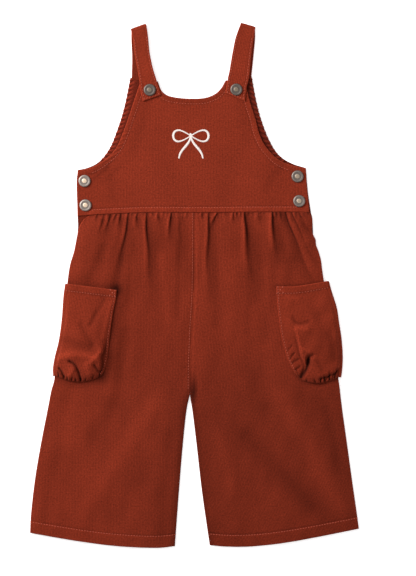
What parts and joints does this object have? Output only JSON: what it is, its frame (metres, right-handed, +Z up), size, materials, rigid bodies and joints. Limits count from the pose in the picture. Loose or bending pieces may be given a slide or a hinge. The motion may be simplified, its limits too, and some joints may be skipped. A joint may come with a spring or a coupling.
{
  "type": "toddler overalls",
  "caption": "Toddler corduroy overalls laid flat: wide cropped legs gathered on to a bib, folded straps with snaps, bubble pockets round the sides.",
  "frame": {"origin": "on the surface the garment lies on, under the middle of its outline", "axes": "+X to the right of the garment as it lies front up, +Y from the hems to the straps, +Z up out of the surface"},
  "size_m": [0.4108, 0.6558, 0.0102],
  "materials": {
    "corduroy": "rust cotton corduroy, fine wales along the garment, soft nap",
    "corduroy_inside": "the same corduroy seen inside, cut across the grain",
    "snap_metal": "antiqued snap caps, dark in the sunk ring, worn bright on the rim",
    "thread": "rust sewing thread, a little lighter than the cloth",
    "embroidery": "cream embroidery thread in satin stitch"
  },
  "bodies": {
    "root": {"front_bib": "corduroy", "back_bib": "corduroy", "front_leg_left": "corduroy", "front_leg_right": "corduroy", "back_leg_left": "corduroy", "back_leg_right": "corduroy", "strap_left": "corduroy", "strap_right": "corduroy", "pocket_left": "corduroy", "pocket_right": "corduroy", "facing_left": "corduroy_inside", "facing_right": "corduroy_inside", "placket_left": "corduroy_inside", "placket_right": "corduroy_inside", "snap_strap_left": "snap_metal", "snap_strap_right": "snap_metal", "snap_side_left_upper": "snap_metal", "snap_side_left_lower": "snap_metal", "snap_side_right_upper": "snap_metal", "snap_side_right_lower": "snap_metal"}
  },
  "joints": []
}
